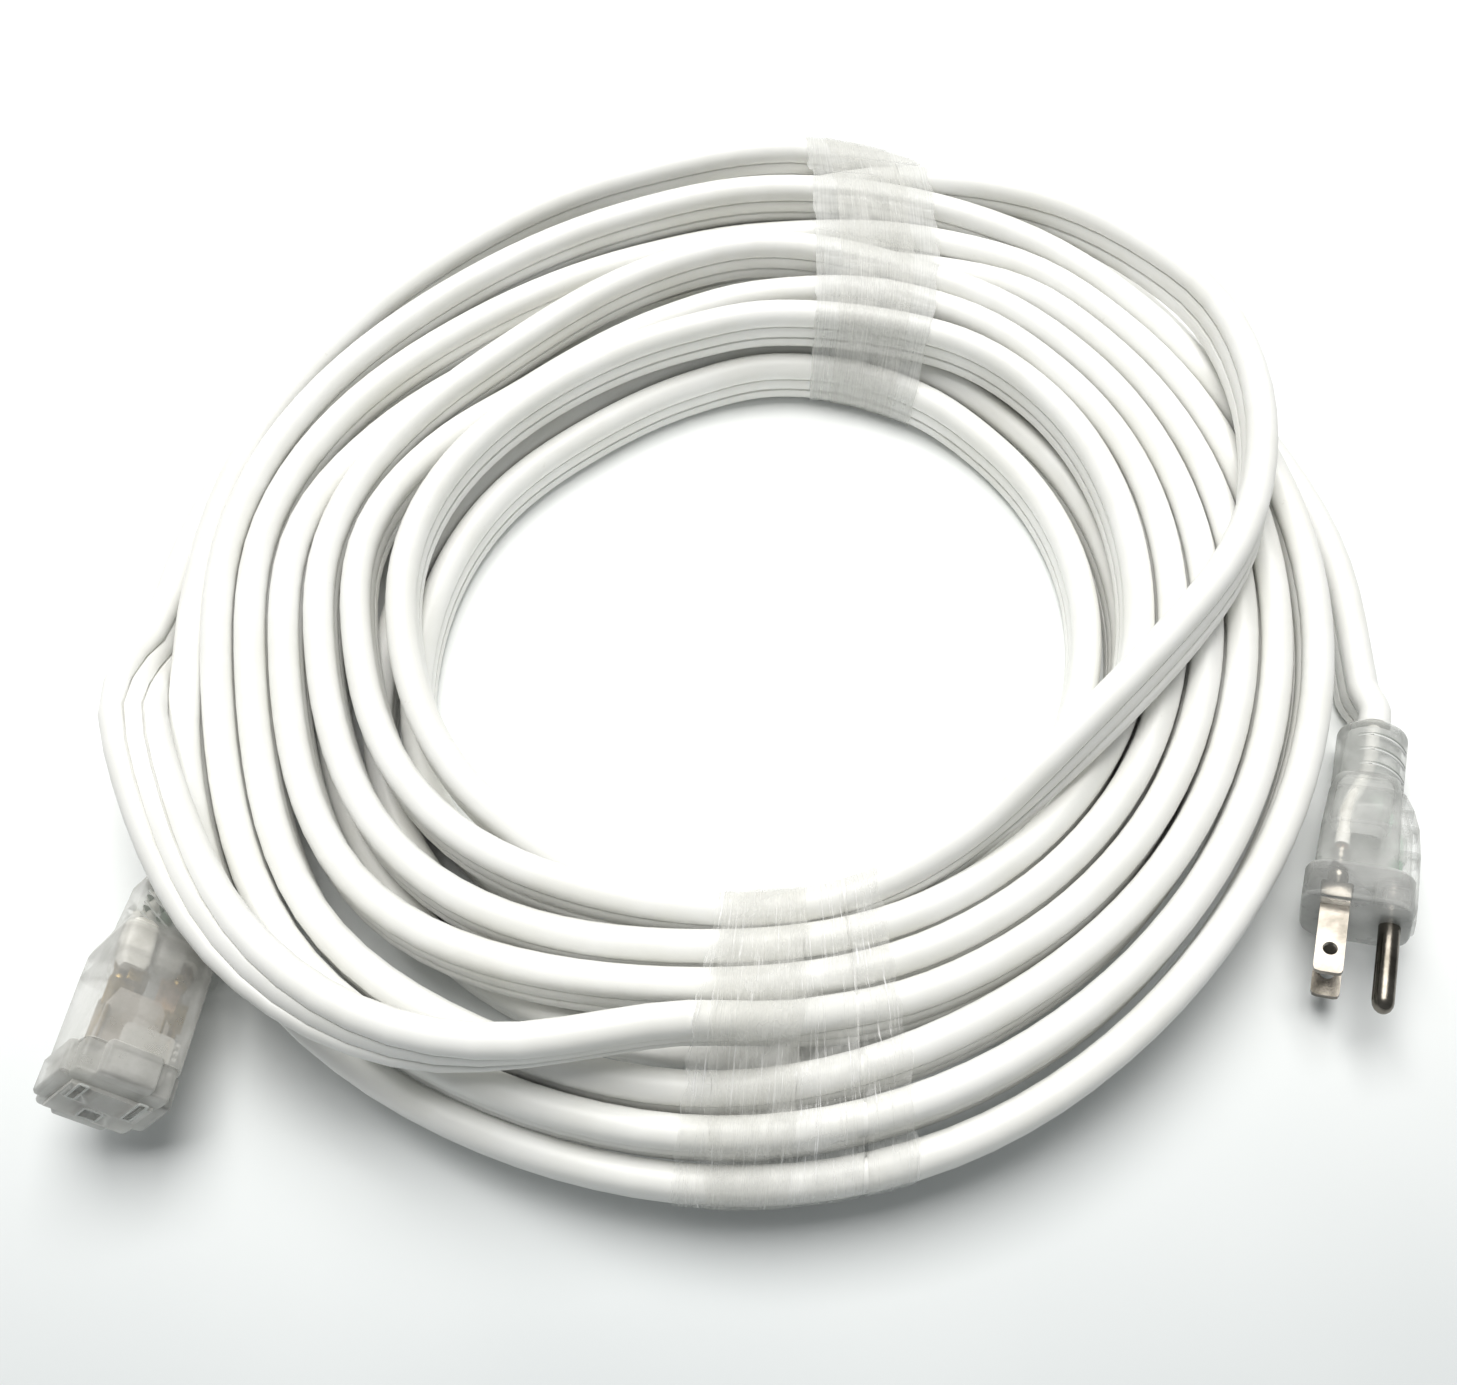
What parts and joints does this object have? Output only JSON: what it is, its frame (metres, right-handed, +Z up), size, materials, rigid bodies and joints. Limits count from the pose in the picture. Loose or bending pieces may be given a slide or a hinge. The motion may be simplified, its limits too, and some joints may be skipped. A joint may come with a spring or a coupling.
{
  "type": "flat extension cord",
  "caption": "Flat ribbed extension cord wound in a taped ring, with a clear moulded grounded plug and a clear moulded grounded connector at its ends",
  "frame": {"origin": "On the floor, in the middle of the box round the two end fittings and the two tape bands", "axes": "+Z up, +X to the right as in the picture, -Y toward the viewer"},
  "size_m": [0.3181, 0.3032, 0.0479],
  "materials": {
    "cord_jacket": "soft off-white PVC, satin",
    "clear_tape": "clear film, wrinkled, glossy",
    "clear_overmould": "translucent grey PVC, glossy",
    "face_insert": "translucent grey PVC, satin",
    "plated_contact": "nickel plated brass, drawn",
    "brass_contact": "dull brass strip",
    "white_insulation": "matte PVC insulation",
    "green_insulation": "matte PVC insulation",
    "copper_strands": "bare stranded copper"
  },
  "bodies": {
    "root": {"coil": "cord_jacket", "plug_lead": "cord_jacket", "connector_lead": "cord_jacket", "near_tape_band": "clear_tape", "far_tape_band": "clear_tape", "plug_overmould": "clear_overmould", "line_blade": "plated_contact", "neutral_blade": "plated_contact", "ground_pin": "plated_contact", "plug_line_core": "white_insulation", "plug_neutral_core": "white_insulation", "plug_ground_core": "green_insulation", "plug_line_strands": "copper_strands", "plug_neutral_strands": "copper_strands", "plug_ground_strands": "copper_strands", "connector_overmould": "clear_overmould", "connector_face_insert": "face_insert", "line_contact": "brass_contact", "neutral_contact": "brass_contact", "ground_contact": "brass_contact", "connector_line_core": "white_insulation", "connector_neutral_core": "white_insulation", "connector_ground_core": "green_insulation", "connector_line_strands": "copper_strands", "connector_neutral_strands": "copper_strands", "connector_ground_strands": "copper_strands"}
  },
  "joints": []
}
